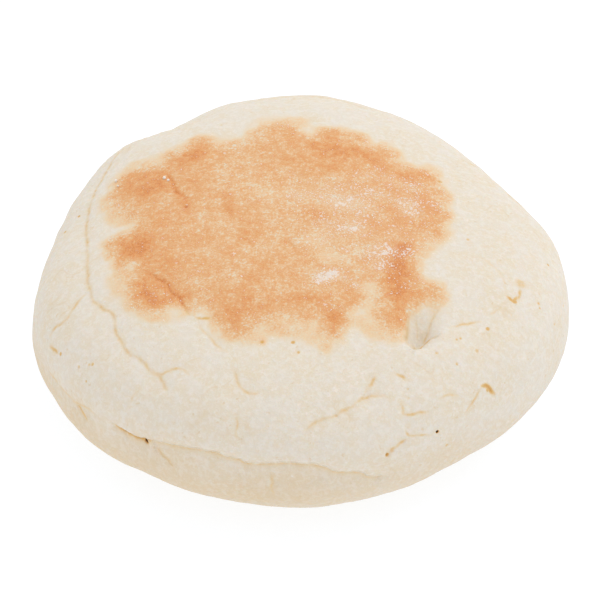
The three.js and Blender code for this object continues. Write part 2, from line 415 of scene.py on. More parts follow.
# Broad dents and bulges: point, radius and rise.
DENTS = [
    (20, -28.8, 31, 1.7, -2.3), (20.4, -25.5, 31.3, 1.9, -1.7), (21, -22.5, 31.6, 2, -0.5),
    (17.5, -34, 30, 4, 0.45), (24.5, -30, 29.5, 3, 0.3), (15, -43.5, 8, 2.5, -0.3),
    (-30, -36, 22.5, 5, 0.5), (-28, -36, 13, 5, -0.3), (-34, -28, 22, 6, 0.3), (6.5, -47, 20.5, 5.5, 0.5),
    (-6, -47, 15, 6, -0.3), (33, -14, 31, 4, 0.3), (-27, 19, 31, 4, -0.4), (8, 24, 33, 6, 0.3),
    (35, 30, 20, 6, -0.4), (5, 47, 20, 7, 0.4), (43.5, 6.5, 23.5, 6, 0.5), (29, 30, 25.5, 6, 0.33),
    (12.5, 41, 27.5, 4, -0.3), (-14.6, 40.3, 27.6, 4, 0.35), (-22.5, 36.1, 27, 4, -0.42),
    (-32.5, 29.5, 26, 5, 0.85), (-44.5, -20.4, 12.4, 5, -0.4), (-33, -32.5, 9, 6, 0.7),
    (-2, -44.6, 7.2, 4, 0.3), (16.5, -40.3, 7.2, 4.5, 0.35), (19.1, 36, 27.5, 4, 0.3),
    (34.5, -27.5, 8.7, 6, 0.4), (46.7, -9.3, 15, 5, 0.25), (-46.3, -14.8, 12.5, 4, 0.15),
]
# Round the back and the right, smaller wrinkles and pinholes lie about at random, as on the front.
SMALL_WRINKLES = 16
PINHOLES = 26
PINHOLE_DEPTH = 0.1
SIDE_RADIUS = 46  # they start this far out, and are then brought onto the crust
WRINKLE_STEP = 1.8  # a wrinkle turns a little after each such length
draw = np.random.default_rng(12)


def on_side(angle, height):
    """A point of the side at that bearing and height."""
    return SIDE_RADIUS * math.cos(angle), SIDE_RADIUS * math.sin(angle), height


for _ in range(SMALL_WRINKLES):
    angle, height = math.radians(draw.uniform(-12, 178)), draw.uniform(9, 29)
    heading, trail = draw.normal(0, 0.6), []
    for _ in range(draw.integers(3, 6)):
        trail.append(on_side(angle, height))
        angle += WRINKLE_STEP * math.cos(heading) / SIDE_RADIUS
        height += WRINKLE_STEP * math.sin(heading)
        heading += draw.normal(0, 0.5)
    FOLDS.append((0.2, draw.uniform(0.03, 0.1), draw.uniform(0.15, 0.4), dict(valley=0.12), trail))
for _ in range(PINHOLES):
    spot = on_side(math.radians(draw.uniform(-20, 190)), draw.uniform(7, 30))
    PITS.append((*spot, draw.uniform(0.25, 0.42), PINHOLE_DEPTH, draw.uniform(0.3, 0.9)))
FOLD_SPACING = 0.3
BENDS = [(0.3, 2.5), (0.14, 0.9)]  # how far a fold strays from its smooth line, and over what length


def smooth_line(points, spacing):
    """A Catmull-Rom curve through the points, as points that far apart or less."""
    points = np.asarray(points, float)
    padded = np.concatenate([2 * points[:1] - points[1:2], points, 2 * points[-1:] - points[-2:-1]])
    line = []
    for before, start, end, after in zip(padded, padded[1:], padded[2:], padded[3:]):
        count = max(2, math.ceil(np.linalg.norm(end - start) / spacing))
        t = np.arange(count)[:, None] / count
        line.append(0.5 * (2 * start + (end - before) * t + (2 * before - 5 * start + 4 * end - after) * t**2
                           + (3 * start - before - 3 * end + after) * t**3))
    return np.concatenate([*line, points[-1:]])


def fold_line(points, seed):
    """A fold's line on the crust: its points, its direction and the way to its left."""
    bed = direction_to(smooth_line(points, FOLD_SPACING))
    line = crust(bed)
    normal = outward_at(bed)
    left = unit(np.cross(normal, np.gradient(line, axis=0)))
    stray = sum(most * lumps(line, length, seed) for most, length in BENDS)
    line = crust(direction_to(line + left * stray[:, None]))
    along = unit(np.gradient(line, axis=0))
    return line, along, unit(np.cross(normal, along))


lines = [fold_line(points, seed) for seed, (*_, points) in enumerate(FOLDS)]
pit_points = crust(direction_to([pit[:3] for pit in PITS]))


# The grid is even, about 0.7 mm, and each step cuts it in half towards the marks: this near to the
# folds, the pits, the folds that hang over and the darkest tucks. The last step is mostly for the
# last two.
FINER_WITHIN = [(0.9, 0.8, 0.9, 1.3), (0.3, 0.45, 0.4, 1.0), (0.02, 0.1, 0.25, 0.7)]


def finer(directions, triangles, wanted):
    """The grid with each wanted triangle cut in four, and its neighbours cut to fit."""
    sides = np.sort(triangles[:, [[0, 1], [1, 2], [2, 0]]], axis=2).reshape(-1, 2)
    edges, index = np.unique(sides, axis=0, return_inverse=True)
    index = index.reshape(-1, 3)
    is_cut = np.zeros(len(edges), bool)
    is_cut[index[wanted]] = True
    while (two_cut := is_cut[index].sum(axis=1) == 2).any():
        is_cut[index[two_cut]] = True
    middles = unit(directions[edges[is_cut]].sum(axis=1))
    number = np.full(len(edges), -1)
    number[is_cut] = len(directions) + np.arange(len(middles))
    cuts = is_cut[index].sum(axis=1)
    made = [triangles[cuts == 0]]
    a, b, c = triangles[cuts == 3].T
    ab, bc, ca = number[index[cuts == 3]].T
    made += [np.stack(corners, axis=1) for corners in ((a, ab, ca), (ab, b, bc), (ca, bc, c), (ab, bc, ca))]
    for turn in range(3):
        chosen = (cuts == 1) & is_cut[index[:, turn]]
        a, b, c = np.roll(triangles[chosen], -turn, axis=1).T
        ab = number[index[chosen, turn]]
        made += [np.stack(corners, axis=1) for corners in ((a, ab, c), (ab, b, c))]
    return np.concatenate([directions, middles]), np.concatenate(made)


def near(points, marks, reach):
    """Whether each point is within reach of one of the marks."""
    tree = kdtree.KDTree(len(marks))
    for i, mark in enumerate(marks.tolist()):
        tree.insert(mark, i)
    tree.balance()
    return np.array([tree.find(point)[2] < reach for point in points.tolist()])


hanging, darkest = (
    np.concatenate([line for (*_, ways, _), (line, _, _) in zip(FOLDS, lines) if word in ways])
    for word in ("lip", "wedge"))
every = np.concatenate([line for line, _, _ in lines])
for reaches in FINER_WITHIN:
    centres = crust(directions)[triangles].mean(axis=1)
    kinds = zip((every, pit_points, hanging, darkest), reaches)
    wanted = np.any([near(centres, marks, reach) for marks, reach in kinds], axis=0)
    directions, triangles = finer(directions, triangles, wanted)

points = crust(directions)
normals = outward_at(directions)
shift = np.zeros_like(points)
tint = np.zeros(len(points))

# Dough is never even: it is lumpy at three sizes. The middling lumps are lower on the crown, which
# the griddle pressed flat, and all of them run out towards the base.
FREE_ABOVE = 4
CROWN_LEVEL = (31, 33)  # the crown starts at the one height and is all there at the other
BROAD_LUMPS, MIDDLING_LUMPS, FINE_LUMPS = (0.22, 14), (0.1, 4.5), (0.035, 1.6)  # height and size
broad, middling, fine = (
    height * lumps(points, size, seed)
    for seed, (height, size) in enumerate((BROAD_LUMPS, MIDDLING_LUMPS, FINE_LUMPS), start=1))
free = np.clip(points[:, 2] / FREE_ABOVE, 0, 1)
is_top = np.clip((points[:, 2] - CROWN_LEVEL[0]) / (CROWN_LEVEL[1] - CROWN_LEVEL[0]), 0, 1)
shift += normals * ((broad + middling * (1 - 0.3 * is_top) + fine) * free)[:, None]

for *spot, radius, rise in DENTS:
    middle = crust(direction_to([spot]))
    swell = rise * bell(np.linalg.norm(points - middle, axis=1), radius)
    shift += normals * swell[:, None]

# How a fold is cut:
PLAIN_REACH = 2.6  # how far to each side a step runs out, where a fold doesn't say
TAPER = 2.2  # a fold fades out over this length at its ends
END_REACH = 0.6  # and over this one past them
UNEVENNESS = 0.45  # how much its strength varies along it, as a share
ROUNDING = 0.05  # of the crease's very bottom
VALLEY_SPREAD = 1.5
RIM_HEIGHT, RIM_PLACE, RIM_WIDTH = 0.3, 3.2, 1.6  # the swollen rims, as shares of depth and width
STEP_SINK = 0.2  # what part of a step sinks the low side rather than lifting the high one
LIP_PLACE, LIP_SPREAD = 0.5, 0.7
LINE_WIDTH, HAZE, HAZE_REACH = 1.4, 0.2, 0.7  # its colour: widths of the crease, share and reach
LINE_UNDER, SHADOW_EDGE, SHADOW_UNDER = 0.5, 0.1, 0.9  # how far under a lip they lie, in steps
CUT_OFF = 2.6  # a fold isn't felt beyond this many reaches
for seed, (fold, (line, along, left)) in enumerate(zip(FOLDS, lines)):
    width, depth, bottom_tint, ways, _ = fold
    valley, step, lip, stain = (ways.get(word, 0) for word in ("valley", "step", "lip", "stain"))
    reach = ways.get("reach", PLAIN_REACH)
    outside = np.abs(points - np.clip(points, line.min(axis=0), line.max(axis=0)))
    close = np.flatnonzero((outside < CUT_OFF * reach).all(axis=1))
    nearest = np.empty(len(close), int)
    for block in np.array_split(np.arange(len(close)), max(1, len(close) * len(line) // 4_000_000)):
        away = points[close[block], None] - line
        nearest[block] = np.einsum("ijk,ijk->ij", away, away).argmin(axis=1)
    away = points[close] - line[nearest]
    across = (away * left[nearest]).sum(axis=1)
    past = np.abs((away * along[nearest]).sum(axis=1))
    gone = np.concatenate([[0], np.cumsum(np.linalg.norm(np.diff(line, axis=0), axis=1))])
    taper = min(TAPER, gone[-1] / 3)
    ends = np.clip(np.minimum(gone, gone[-1] - gone) / taper, 0, 1)
    strength = ends * (1 + UNEVENNESS * lumps(line, 1.6, seed + 50))
    strength = strength[nearest] * np.exp(-((past / END_REACH) ** 2))
    soft = np.sqrt(across**2 + ROUNDING**2)
    profile = -depth * np.exp(-soft / width) - valley * bell(across, VALLEY_SPREAD)
    from_rim = (np.abs(across) - RIM_PLACE * width) / (RIM_WIDTH * width)
    profile += RIM_HEIGHT * depth * np.exp(-(from_rim**2))
    lifted = 0.5 * np.tanh(across / width) - STEP_SINK
    profile += step * np.abs(lifted) * np.sign(across) * bell(across, reach)
    move = normals[close] * (profile * strength)[:, None]
    over = lip * bell(across - math.copysign(LIP_PLACE, lip), LIP_SPREAD)
    move -= left[nearest] * (over * strength)[:, None]
    shift[close] += move
    below = -across * math.copysign(1, step)  # how far under the lip, which hides the first of it
    # The crease's colour is partly the skin's own tan and partly painted shade in the crease.
    from_line = below - LINE_UNDER * abs(step) if "lip" in ways else across
    haze = HAZE * np.exp(-np.abs(from_line) / HAZE_REACH)
    line_tint = bottom_tint * (np.exp(-((from_line / (LINE_WIDTH * width)) ** 2)) + haze)
    # Under a lip, a painted shadow of warm tan, where the overhang shades the skin below it.
    shadowed = np.clip(below - SHADOW_UNDER * abs(step), 0, None)
    line_tint += stain * np.exp(-shadowed) * (below > SHADOW_EDGE * abs(step))
    tint[close] = np.maximum(tint[close], line_tint * strength)

PIT_TINT_REACH = 0.9  # of a pit's radius, with a harder edge than the pit's own
# A pit's tint is partly the mark's own tan and partly painted shade in the hole.
for middle, (*_, radius, depth, pit_tint) in zip(pit_points, PITS):
    away = np.linalg.norm(points - middle, axis=1) / radius
    shift -= normals * (depth * np.exp(-(away**2)))[:, None]
    tint = np.maximum(tint, pit_tint * np.exp(-((away / PIT_TINT_REACH) ** 4)))

# Where the griddle browned it. On the crown the brown is an uneven patch, set a little to the left
# and front, with lobes where the crust bulged against the iron. Its edge, seen from above:
BROWN_EDGE = [
    (24.9, 0), (25.1, 5), (24.9, 10), (24.3, 15), (22.5, 16.8), (19.5, 16.6), (17.2, 17.6), (16.8, 19.6),
    (15.2, 21.2), (12.4, 21.6), (11, 23.8), (8.6, 24.2), (6.8, 25.2), (4.6, 25.1), (3, 24.1), (1.5, 23.8),
    (0, 25.2), (-0.8, 26.8), (-3.2, 27.3), (-6.6, 26.8), (-8.2, 24.8), (-9, 22.8), (-12, 22.8), (-15, 23.4),
    (-17.2, 24.6), (-18.8, 24.8), (-19.9, 23.6), (-21.4, 21.9), (-23, 20.8), (-23.9, 18.6), (-24.6, 17),
    (-26.4, 18), (-29.4, 18.3), (-31.8, 16.8), (-33, 14), (-33.8, 12.2), (-33, 10), (-31.6, 8), (-31, 5),
    (-29.6, 2), (-29.4, 0.2), (-30.7, -1.4), (-32.3, -3), (-32.2, -6), (-31.2, -8.6), (-29.4, -9.4),
    (-28.2, -11), (-29.2, -13), (-29.9, -14.6), (-29.5, -17), (-28, -19.6), (-26.8, -21.6), (-24.4, -23),
    (-22.8, -22.8), (-21.6, -21.6), (-20.6, -22), (-19.2, -23), (-16.4, -22.6), (-15.2, -24.4),
    (-14.6, -26.6), (-13, -28.4), (-10.4, -29.5), (-8.2, -28.8), (-7, -27.4), (-4.6, -27.2), (-2, -26.6),
    (0.6, -27), (2.8, -27), (3.6, -28.8), (4.2, -31), (5.4, -30.8), (7, -28.6), (8.2, -26), (9.4, -23.2),
    (10.6, -21.4), (10.4, -19.4), (10.6, -17.6), (11.6, -16.8), (12.7, -17.4), (13.3, -20), (13, -23),
    (12, -25.6), (12, -27.6), (14.4, -28.6), (16.8, -28.2), (17.8, -26), (18, -23), (20.2, -21.8),
    (22.4, -19.6), (23, -17), (20.4, -15.6), (20.2, -13), (20.2, -10), (21, -7), (22.6, -5), (24.1, -2.8),
]
# Inside it, streaks that pressed harder on the iron or less: both ends, reach and change. The last
# lot lie outside it, where the crust only turned straw yellow.
BROWN_STREAKS = [
    (-31, 16, -26, 15.5, 2.2, 0.28), (-32, 12.2, -27, 10.8, 2, 0.3), (-23.2, 18.6, -19.8, 18.8, 2, 0.36),
    (-20, 21, -17.5, 21.6, 2, 0.2), (-18, 21.5, -17.5, 23, 1.5, 0.12), (-25, 15, -25, 10, 1.5, 0.22),
    (-2.6, 27, -2, 24, 1.4, 0.3), (0, 22.8, 2, 22, 1.4, 0.16), (-6.6, 25.6, -6, 25.2, 1.1, 0.12),
    (2, 18.5, 5.5, 19, 2.2, 0.23), (4.5, 21.5, 5.8, 24, 1.6, 0.24), (9, 19, 13, 18.5, 1.8, 0.32),
    (9, 21.5, 10, 22.8, 1.4, 0.16), (13, 17, 16, 16, 1.2, 0.15), (15, 14.5, 20.5, 14.5, 1.3, 0.24),
    (18, 12.5, 20, 12, 1.3, 0.36), (23, 14, 23.6, 10.6, 1.5, 0.18), (21, 7, 24, 2, 1.5, 0.27),
    (22, -0.6, 23.4, -2, 1.3, 0.16), (18, -1, 22, -2.5, 1.5, 0.15), (14, 9, 17, 7, 1.5, 0.13),
    (15.5, 3, 17, 1, 1.7, 0.2), (2, 1, 3, 0, 1.8, 0.15), (5, 15, 9, 14, 1.8, 0.12),
    (-2, 16.5, 0, 15.5, 2, 0.16), (13, -1.5, 16, -2, 1.5, 0.12), (17.5, -8, 16.5, -11.5, 1.7, 0.38),
    (16.3, -13, 17.4, -14.4, 1.8, 0.5), (15.5, -16, 16.5, -18, 1.6, 0.36), (18, -9, 18.2, -7.4, 1.2, 0.34),
    (11.4, -10.8, 12.4, -11.8, 1.1, 0.2), (19.2, -19.6, 20.5, -19, 1.1, 0.2),
    (16.7, -20.8, 17.2, -24.2, 1.3, 0.42), (15, -24, 16.5, -27, 1.8, 0.12),
    (0, -20.5, 2.5, -21.5, 1.6, 0.3), (6, -21.6, 8, -21.5, 1.4, 0.14), (5, -25.5, 6, -28, 1.5, 0.36),
    (7, -25, 7.5, -26.5, 1, 0.2), (7, -17, 9.5, -21, 1.5, 0.15), (-1, -23, 0, -25, 1.5, 0.12),
    (-13, -23.5, -11, -24.5, 1.8, 0.24), (-9, -21.6, -8.4, -23, 1.6, 0.18),
    (-11.5, -27.5, -10.5, -28.5, 1.5, 0.24), (5.2, -14.4, 6.2, -14.6, 1.1, 0.18),
    (-8.5, -17, -7.5, -17.5, 1.4, 0.15), (-27, -18.4, -25.2, -20.4, 1.6, 0.52),
    (-26, -15.2, -27.6, -15.8, 1.5, 0.25), (-27, -12, -23.5, -10.5, 1.7, 0.26),
    (-23, -17, -20.5, -19, 1.5, 0.18), (-21.5, -20.4, -18.2, -19.8, 1.3, 0.24),
    (-32, -4, -29, -5, 2.2, 0.4), (-30.5, -7.5, -28, -8, 1.7, 0.23), (-27, -5, -26, -8, 2, 0.15),
    (-26, 0, -22, 3.8, 2.2, 0.14), (-22, 9, -20.5, 6, 1, 0.15), (-19.4, 11.4, -19, 10, 1.3, 0.12),
    (-13.5, 7, -12, 3, 1.5, 0.13), (-9, -1.5, -8.5, -4, 2, 0.13), (-17, -4, -16, -5, 1.5, 0.08),
    (-22, -7, -21, -6, 1.2, 0.14), (-2.8, -13.5, -2, -13.4, 1.3, -0.14), (7, 4, 10, 3.6, 2.2, -0.1),
    (5.5, -2.6, 8, -2, 2.4, -0.08), (5, -10.4, 9, -11, 3, -0.22), (2, -7, 5, -6, 2.5, -0.08),
    (10.8, -18, 11.8, -22, 1.3, -0.2), (11, -24.5, 12.5, -29, 1.5, -0.26), (3.6, -11, 5, -11, 1.2, -0.2),
    (-12, 13, -8, 9, 3, -0.08), (-6, 6, -1, 9, 3, -0.08), (-10, -8, -8, -8, 1.8, -0.12),
    (-13, -11, -10, -12, 2.2, -0.08), (-29.2, -11.6, -29, -10, 1.1, -0.26),
    (-22.2, -22.6, -21.5, -23.6, 0.9, -0.25), (13, 3, 14.5, 0, 1.7, -0.12), (-19, -2, -14, -2, 2, -0.06),
    (0, 6, 4, 9, 2.5, -0.06), (-31, 6.5, -29, 7.5, 2.2, 0.14), (-4.4, 4, -4.2, -2, 2.2, -0.13),
    (19.6, -24.6, 21.4, -22.4, 1.3, -0.35),
]
STRAW_STREAKS = [
    (-31, 18.8, -25, 20.5, 2.4, 0.17), (-7, 30, 0, 29, 2.2, 0.14), (4, 26.5, 10.5, 26, 1.6, 0.07),
    (10, 29.5, 10.5, 29, 1, 0.1), (13, 22, 17, 20.5, 1.6, 0.07), (26, 2, 26, 8, 1.5, 0.07),
    (24, -4, 21, -8, 2, 0.09), (-34, 8, -32, 3, 2.3, 0.15), (-34.4, -2, -34, -6, 1.2, 0.1),
    (-32, -13, -31.5, -17, 2, 0.16), (-30.5, -11, -31, -10, 1.7, 0.22), (-29, -21, -27.4, -22.8, 1.3, 0.09),
    (-14, -30, -8, -31, 1.4, 0.07), (-6.5, -31, -6.5, -31.6, 0.7, 0.2), (-4, -28.6, 1.2, -29.8, 1.7, 0.26),
    (4, -32, 4.5, -32.5, 1, 0.14), (10.5, -27, 12.5, -28.5, 1.6, 0.17), (23, -17, 24, -19, 1.5, 0.17),
    (-18.8, 26.6, -18.6, 26.2, 1.2, 0.12), (-24, -25, -21, -25, 1.4, 0.12), (24, -22, 29, -24, 1.5, 0.06),
    (9.5, -15.5, 12.5, -24, 2, 0.17),
]
EDGE_SPACING = 0.5
STREAK_SPREAD = 0.8  # of its reach


def smoothstep(low, high, values):
    """0 below low and 1 above high, with a smooth rise between them."""
    t = np.clip((values - low) / (high - low), 0, 1)
    return t * t * (3 - 2 * t)


def streaks(places, marks):
    """The sum of soft streaks at places seen from above."""
    total = np.zeros(len(places))
    for *ends, reach, change in marks:
        start, end = np.reshape(ends, (2, 2)).astype(float)
        span = end - start
        share = np.clip((places - start) @ span / max(span @ span, 1e-6), 0, 1)
        away = np.linalg.norm(places - start - share[:, None] * span, axis=1)
        total += change * bell(away, STREAK_SPREAD * reach)
    return total


def depth_inside(places, edge):
    """How far places, seen from above, lie inside a closed edge; outside it, as a negative."""
    x, y = places[:, :1], places[:, 1:]
    starts, ends = edge, np.roll(edge, -1, axis=0)
    run, climb = (ends - starts).T
    slope = run / np.where(climb == 0, 1, climb)
    is_crossed = (starts[:, 1] > y) != (ends[:, 1] > y)
    is_inside = (is_crossed & (x < starts[:, 0] + (y - starts[:, 1]) * slope)).sum(axis=1) % 2 == 1
    away = np.hypot(x - starts[:, 0], y - starts[:, 1]).min(axis=1)
    return np.where(is_inside, away, -away)


# It browns in two soft rises over its edge, and the streaks and blotches come on top. Outside it
# only the straw streaks are left, here on the crown above the shoulder.
SHOULDER = 25
FAR_OUTSIDE = -9.0
EDGE_RISE, INNER_RISE, STREAK_STRENGTH, BLOTCHES, STRAW_STRENGTH = 0.2, 0.285, 0.82, 0.13, 0.8
x, y, z = points.T
seen_from_above = points[:, :2]
is_crown = z > GIRTH_HEIGHT
ragged = 1.3 * lumps(points, 3.5, 4, 3) + 0.7 * lumps(points, 1.3, 11, 2)
brown_edge = smooth_line([*BROWN_EDGE, BROWN_EDGE[0]], EDGE_SPACING)[:-1]
inside = np.full(len(points), FAR_OUTSIDE)
for block in np.array_split(np.flatnonzero(z > SHOULDER), 20):
    inside[block] = depth_inside(seen_from_above[block], brown_edge)
inside += ragged
crown_brown = EDGE_RISE * smoothstep(-4.8, 1.6, inside) + INNER_RISE * smoothstep(-2.6, 3.8, inside)
crown_brown += STREAK_STRENGTH * streaks(seen_from_above, BROWN_STREAKS) * smoothstep(-3.2, 1.8, inside)
crown_brown += BLOTCHES * lumps(points, 6, 5) * smoothstep(-1, 3, inside)
straw = streaks(seen_from_above, STRAW_STREAKS) * (1 + 0.5 * lumps(points, 2.2, 12)) * (z > SHOULDER)
crown_brown = np.clip(crown_brown, 0, None) + STRAW_STRENGTH * straw * (1 - smoothstep(0, 3, inside))

# The base lay flat on the iron, so its brown is rounder, and deeper in a ring where the dough
# pressed on it.
BASE_BROWN_RADIUS = 29
RING_BROWN, RING_INSIDE, RING_WIDTH = 0.3, 4.5, 3
BASE_BLOTCHES = 0.2
base_radius = np.hypot(x - GIRTH_MIDDLE[0], y - GIRTH_MIDDLE[1])
inside_base = BASE_BROWN_RADIUS - base_radius + 2.2 * lumps(points, 9, 6, 3) + ragged
base_brown = EDGE_RISE * smoothstep(-4, 0, inside_base) + 0.22 * smoothstep(-1.5, 3, inside_base)
ring = RING_BROWN * np.exp(-(((inside_base - RING_INSIDE) / RING_WIDTH) ** 2))
base_brown += ring + BASE_BLOTCHES * lumps(points, 7, 7) * smoothstep(-1, 3, inside_base)
toast = np.where(is_crown, crown_brown, base_brown)

# Flour from the board still lies on the crown's right half, and thinly on the base.
FLOUR_STREAKS = [
    (6, 5, 10, 4, 2.2, 0.65), (3, -1.5, 9, -2.5, 2.3, 0.4), (8.6, -3.2, 11, -3.5, 1.4, 0.55),
    (10.5, 12.5, 12, 12.5, 1.1, 0.5), (13, 16, 14, 15, 1.3, 0.4), (16, 12, 20, 10, 1.8, 0.6),
    (13.4, 8, 15, 7, 1.3, 0.5), (17.4, 5, 18.6, 4.6, 1.4, 0.7), (18, 2, 20, 1.5, 1.3, 0.6),
    (21, 6, 23, 4, 1.6, 0.45), (12, 0, 16, -3, 2.5, 0.25), (14, -8, 16, -8.5, 1.4, 0.9),
    (10, -9.5, 14, -11, 1.8, 0.65), (12.5, -13, 15, -13, 1.3, 0.6), (18, -10.5, 18.6, -9, 1.2, 0.8),
    (17.6, -6, 18, -6, 0.8, 0.6), (3.6, -15.8, 5.2, -15.4, 1.5, 1.5), (6.8, -15.8, 7.6, -16.2, 1, 0.7),
    (9, -18, 9.6, -18.4, 0.8, 0.7), (5, -23, 5.5, -23, 1.2, 0.4), (-1, 6.5, 0, 6, 1.2, 0.5),
    (-2.5, 13.5, -1.5, 12, 1, 0.4), (2, 8, 8, 8, 3, 0.3), (20, -3, 22, -6, 2.4, 0.3),
    (-26, -20, -24, -19, 2.4, 0.3), (17, -14, 18, -17, 2, 0.3), (-1, -6, 0, -6.5, 1.2, 0.4),
    (3, -6.5, 5, -7, 1.3, 0.35), (-11, -25.5, -9, -26, 2, 0.3), (6, 0, 22, 8, 7, 0.3),
]
CROWN_FLOUR, BASE_FLOUR = 0.68, 0.35
on_crown = CROWN_FLOUR * streaks(seen_from_above, FLOUR_STREAKS)
on_base = BASE_FLOUR * smoothstep(0.1, 0.7, lumps(points, 9, 8)) * (normals[:, 2] < -0.7)
flour = np.where(is_crown, on_crown, on_base)

# How low on the side a point is, where the dough is painted warmer and darker: partly the skin's own
# warmer colour, partly painted shade, as less light reaches low on the side. To the right the band lies
# lower, and it is weaker where the crust faces down, under the base.
LOW_SIDE_LEVELS = (4, 29)
LOWER_ON_RIGHT = 0.18
band_height = z + 3 * lumps(points, 12, 9) + LOWER_ON_RIGHT * np.clip(x, 0, None)
low_side = 1 - smoothstep(*LOW_SIDE_LEVELS, band_height)
low_side *= 1 - 0.5 * smoothstep(0.3, 0.9, -normals[:, 2])

points += shift
points[:, 2] = np.maximum(points[:, 2], 0)
crust_mesh = bpy.data.meshes.new("crust")
crust_mesh.from_pydata((points * MM).tolist(), [], triangles.tolist())
for name, values in dict(toast=toast, flour=flour, tint=tint, low_side=low_side).items():
    crust_mesh.attributes.new(name, "FLOAT", "POINT").data.foreach_set("value", values.astype(np.float32))
crust_mesh.polygons.foreach_set("use_smooth", np.ones(len(triangles), bool))
crust_mesh.update()
muffin = add_object("muffin", crust_mesh)

# Baked wheat dough: matt and floury, faintly translucent. The side stayed pale, because it never
# touched the iron; where it did, the skin went through straw to a foxy brown, and its fine grain
# broke the brown up into specks, because only the high points touched.
PALE_DOUGH = "#e1d8ca"
FLOURY_DOUGH = "#e8e2d9"
CREAMY_DOUGH = "#e1d2b8"
# The low side's colour: partly its own warmer tone, partly painted shade.
WARM_SHADED_DOUGH = "#d8bf99"
WISP = "#d8bf98"
FLOUR_WHITE = "#ece1d7"
# Pale specks on the raised grain of the brown: partly pale skin, partly painted light on the grain's tops.
SPECK_AND_GLINT = "#f4dfc4"
BROWN_STOPS = [
    (0, "#e4d7c2"), (0.18, "#e5ccaa"), (0.36, "#e5bd93"), (0.55, "#e1ac79"), (0.78, "#e09c64"),
    (1, "#d48952"),
]
# The colours of folds and pits, from tan to near black: partly their own tan, partly painted shade in creases
# and holes.
FOLD_STOPS = [
    (0, "#e0cfae"), (0.15, "#e0c291"), (0.28, "#dab274"), (0.45, "#d4a054"), (0.7, "#9c6a38"),
    (1, "#361c0d"),
]
MOST_TINT = 2.4  # the tint at the last of the fold's colours
# The skin's noises, by how far across their lumps are. The grain is a little coarser than it is.
GRAIN, CLOUD, FRECKLE, MOTTLE, VEIN, BLOTCH = 0.35, 0.9, 1.1, 2.6, 13, 9
NOISE_MIDDLE = 0.5


def weighted_sum(tree, start, parts):
    """The start, with each part times its weight added to it by nodes."""
    total = start
    for part, weight in parts:
        total = add_node(tree, "ShaderNodeMath", dict(operation="MULTIPLY_ADD"), Value_0=part,
                         Value_1=weight, Value_2=total)
    return total


baked_dough, tree, surface = new_material("baked_dough")
crust_place = add_node(tree, "ShaderNodeTexCoord").outputs["Object"]
grain, cloud, freckle, mottle, vein, blotch = (
    add_node(tree, "ShaderNodeTexNoise", Vector=crust_place, Scale=1 / (size * MM), Detail=2,
             Roughness=0.6)
    for size in (GRAIN, CLOUD, FRECKLE, MOTTLE, VEIN, BLOTCH))
toast_value, flour_value, tint_value, low_value = (
    add_node(tree, "ShaderNodeAttribute", dict(attribute_name=name)).outputs["Fac"]
    for name in ("toast", "flour", "tint", "low_side"))
is_toasted = add_node(tree, "ShaderNodeMapRange", dict(interpolation_type="SMOOTHSTEP"),
                      Value=toast_value, From_Min=0.08, From_Max=0.45)

# The brown is broken up at three sizes, and a fold in it is browner still, partly as painted shade in
# the crease. Off the brown, a fold's colour comes and goes a little along it.
BREAKUP = [(grain, 1.4), (cloud, 0.8), (mottle, 0.6)]
start = -NOISE_MIDDLE * sum(weight for _, weight in BREAKUP)
broken = weighted_sum(tree, start, [*BREAKUP, (tint_value, 0.4)])
browned = weighted_sum(tree, toast_value, [(broken, is_toasted)])
untoasted = add_node(tree, "ShaderNodeMath", dict(operation="SUBTRACT"), Value_0=1, Value_1=is_toasted)
patchy = add_node(tree, "ShaderNodeMapRange", Value=cloud, From_Min=0.35, From_Max=0.65, To_Min=0.7,
                  To_Max=1.2)
fold_value = add_node(tree, "ShaderNodeMath", dict(operation="MULTIPLY"), Value_0=tint_value,
                      Value_1=untoasted)
fold_value = add_node(tree, "ShaderNodeMath", dict(operation="MULTIPLY"), Value_0=fold_value,
                      Value_1=patchy)
tint_share = add_node(tree, "ShaderNodeMath", dict(operation="DIVIDE"), Value_0=tint_value, Value_1=MOST_TINT)

# Faint veins run along one level of a broad noise, here and there.
above_level = add_node(tree, "ShaderNodeMath", dict(operation="SUBTRACT"), Value_0=vein,
                       Value_1=NOISE_MIDDLE)
off_level = add_node(tree, "ShaderNodeMath", dict(operation="ABSOLUTE"), Value_0=above_level)
on_vein = add_node(tree, "ShaderNodeMapRange", Value=off_level, From_Min=0, From_Max=0.013, To_Min=1,
                   To_Max=0)
here = add_node(tree, "ShaderNodeMapRange", Value=blotch, From_Min=0.5, From_Max=0.62)
veins = add_node(tree, "ShaderNodeMath", dict(operation="MULTIPLY"), Value_0=on_vein, Value_1=here)

# The flour's specks are the skin's own grain, caught by it, and there are fewer low on the side.
FLOUR_BREAKUP = [(grain, 3.2), (cloud, 3.4), (mottle, 2.2)]
start = -NOISE_MIDDLE * sum(weight for _, weight in FLOUR_BREAKUP)
flour_specks = weighted_sum(tree, start, [*FLOUR_BREAKUP, (flour_value, 1.2), (low_value, -0.6)])
brown_specks = add_node(tree, "ShaderNodeMath", dict(operation="MULTIPLY"), Value_0=grain,
                        Value_1=is_toasted)

brown_ramp = add_node(tree, "ShaderNodeValToRGB", Fac=browned)
fold_ramp = add_node(tree, "ShaderNodeValToRGB", Fac=tint_share)
for ramp, stops in ((brown_ramp, BROWN_STOPS), (fold_ramp, FOLD_STOPS)):
    elements = ramp.color_ramp.elements
    elements.remove(elements[1])
    for number, (at, colour) in enumerate(stops):
        stop = elements[0] if number == 0 else elements.new(at)
        stop.position = at
        stop.color = linear(colour)
